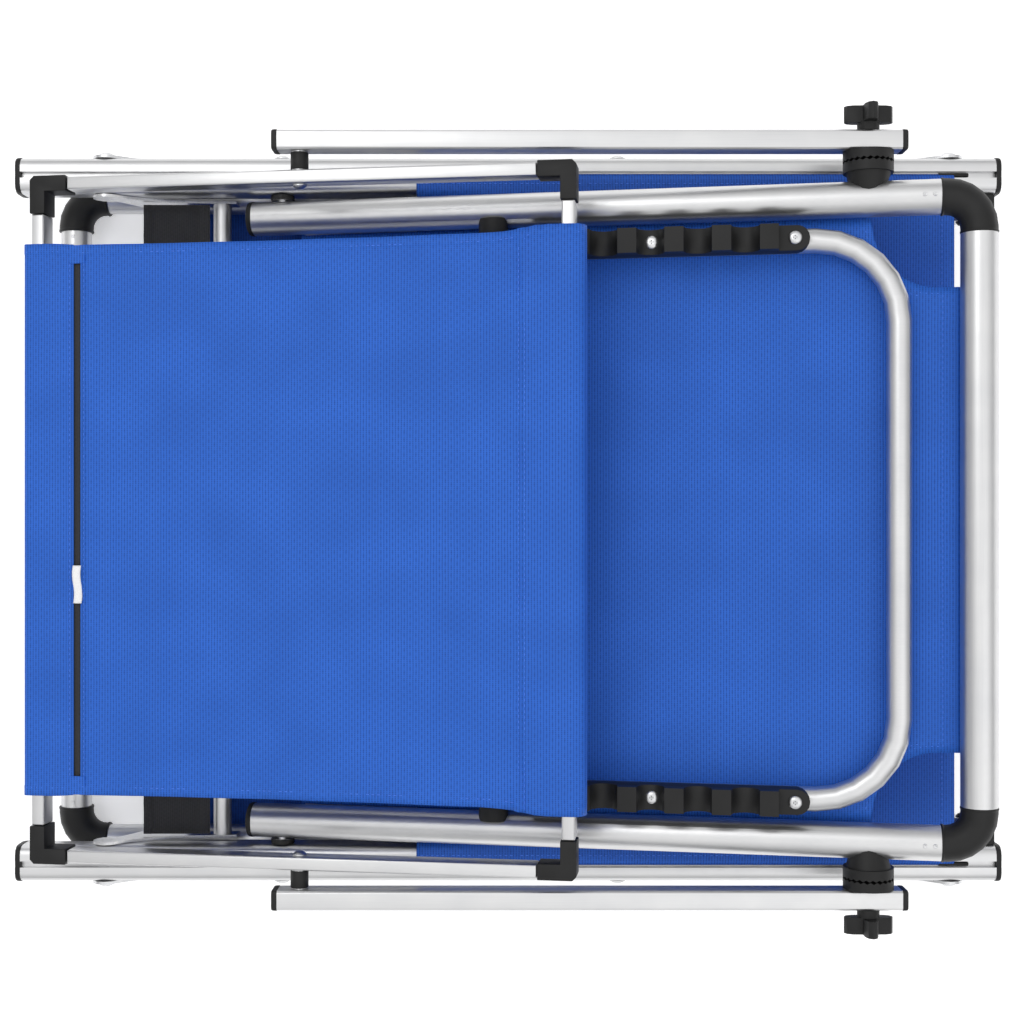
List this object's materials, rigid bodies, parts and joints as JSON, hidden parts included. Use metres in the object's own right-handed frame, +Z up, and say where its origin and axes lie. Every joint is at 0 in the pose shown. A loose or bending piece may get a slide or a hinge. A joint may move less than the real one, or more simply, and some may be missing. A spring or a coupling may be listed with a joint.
{
  "type": "folding sun lounger",
  "caption": "Folding aluminium sun lounger with fabric sunshade, folded flat: hinged head and foot frames, notched prop bracket and folding legs.",
  "frame": {"origin": "centre of the folded lounger, on the surface it lies on", "axes": "+X from the sunshade end to the head frame cross tube as folded, +Y across, +Z up"},
  "size_m": [0.788, 0.626, 0.1859],
  "materials": {
    "aluminium": "satin anodised",
    "steel": "zinc plated",
    "black_plastic": "moulded, fine grain",
    "mesh_fabric": "coated mesh weave",
    "black_webbing": "woven webbing"
  },
  "bodies": {
    "seat_frame": {"foot_hinge_bracket_left": "black_plastic", "foot_hinge_bracket_right": "black_plastic", "front_pivot_bolt_left": "steel", "front_pivot_bolt_right": "steel", "head_hinge_pin_left": "steel", "head_hinge_pin_right": "steel", "rail_left": "aluminium", "rail_right": "aluminium", "rear_pivot_bolt_left": "steel", "rear_pivot_bolt_right": "steel", "rest_band": "black_webbing", "seat_cross_tube": "aluminium", "seat_sheet": "mesh_fabric", "waist_flap": "mesh_fabric"},
    "head_frame": {"head_cross_tube": "aluminium", "head_elbow_left": "black_plastic", "head_elbow_right": "black_plastic", "head_sheet": "mesh_fabric", "head_tube_left": "aluminium", "head_tube_right": "aluminium", "ratchet_base_left": "black_plastic", "ratchet_base_right": "black_plastic"},
    "prop": {"prop_tube": "aluminium", "rack_left": "black_plastic", "rack_right": "black_plastic"},
    "arm_left": {"arm_left_canopy_pin": "steel", "arm_left_ratchet": "black_plastic", "arm_left_tube": "aluminium"},
    "arm_right": {"arm_right_canopy_pin": "steel", "arm_right_ratchet": "black_plastic", "arm_right_tube": "aluminium"},
    "knob_left": {"knob_left": "black_plastic"},
    "knob_right": {"knob_right": "black_plastic"},
    "canopy": {"canopy_corner_left_lower": "black_plastic", "canopy_corner_left_upper": "black_plastic", "canopy_corner_right_lower": "black_plastic", "canopy_corner_right_upper": "black_plastic", "canopy_end_bar_left": "aluminium", "canopy_end_bar_right": "aluminium", "canopy_sheet": "mesh_fabric", "canopy_side_bar_left": "aluminium", "canopy_side_bar_right": "aluminium"},
    "rear_leg": {"rear_cross_bar": "aluminium", "rear_inner_plate_left": "steel", "rear_inner_plate_right": "steel", "rear_leg_tube": "aluminium", "rear_outer_plate_left": "steel", "rear_outer_plate_right": "steel"},
    "front_leg": {"front_leg_tube": "aluminium", "front_plate_left": "steel", "front_plate_right": "steel"},
    "foot_frame": {"foot_cross_tube": "aluminium", "foot_elbow_left": "black_plastic", "foot_elbow_right": "black_plastic", "foot_link_left": "aluminium", "foot_link_right": "aluminium", "foot_sheet": "mesh_fabric", "foot_tube_left": "aluminium", "foot_tube_right": "aluminium"},
    "foot_leg": {"foot_leg_tube": "aluminium"}
  },
  "joints": [
    {"name": "head_recline", "type": "hinge", "parent": "seat_frame", "child": "head_frame", "pos_m": [-0.182, 0, 0.068], "axis": [0, -1, 0], "range_deg": [0, 170]},
    {"name": "arm_left_swing", "type": "hinge", "parent": "head_frame", "child": "arm_left", "pos_m": [0.273, 0, 0.14577], "axis": [0, 1, 0], "range_deg": [0, 255]},
    {"name": "arm_right_swing", "type": "hinge", "parent": "head_frame", "child": "arm_right", "pos_m": [0.273, 0, 0.14577], "axis": [0, 1, 0], "range_deg": [0, 255]},
    {"name": "canopy_tilt", "type": "hinge", "parent": "arm_left", "child": "canopy", "pos_m": [-0.158, 0, 0.14577], "axis": [0, -1, 0], "range_deg": [0, 85]},
    {"name": "prop_swing", "type": "hinge", "parent": "head_frame", "child": "prop", "pos_m": [-0.01158, 0, 0.10372], "axis": [0, -1, 0], "range_deg": [0, 15]},
    {"name": "foot_unfold", "type": "hinge", "parent": "seat_frame", "child": "foot_frame", "pos_m": [0.375, 0, 0.0415], "axis": [0, -1, 0], "range_deg": [0, 180]},
    {"name": "rear_leg_fold", "type": "hinge", "parent": "seat_frame", "child": "rear_leg", "pos_m": [-0.324, 0, 0.068], "axis": [0, 1, 0], "range_deg": [0, 98]},
    {"name": "front_leg_fold", "type": "hinge", "parent": "seat_frame", "child": "front_leg", "pos_m": [0.355, 0, 0.068], "axis": [0, -1, 0], "range_deg": [0, 88]},
    {"name": "foot_leg_fold", "type": "hinge", "parent": "foot_frame", "child": "foot_leg", "pos_m": [-0.165, 0, 0.015], "axis": [0, -1, 0], "range_deg": [0, 95]},
    {"name": "knob_left_turn", "type": "hinge", "parent": "arm_left", "child": "knob_left", "pos_m": [0.273, 0.305, 0.14577], "axis": [0, 1, 0], "continuous": true},
    {"name": "knob_right_turn", "type": "hinge", "parent": "arm_right", "child": "knob_right", "pos_m": [0.273, -0.305, 0.14577], "axis": [0, 1, 0], "continuous": true}
  ],
  "couplings": [
    {"joint": "arm_left_swing", "follows": "head_recline", "ratio": 1.5},
    {"joint": "arm_right_swing", "follows": "head_recline", "ratio": 1.5},
    {"joint": "canopy_tilt", "follows": "head_recline", "ratio": 0.5},
    {"joint": "rear_leg_fold", "follows": "foot_unfold", "ratio": 0.5444},
    {"joint": "front_leg_fold", "follows": "foot_unfold", "ratio": 0.4888},
    {"joint": "foot_leg_fold", "follows": "foot_unfold", "ratio": 0.5277}
  ]
}
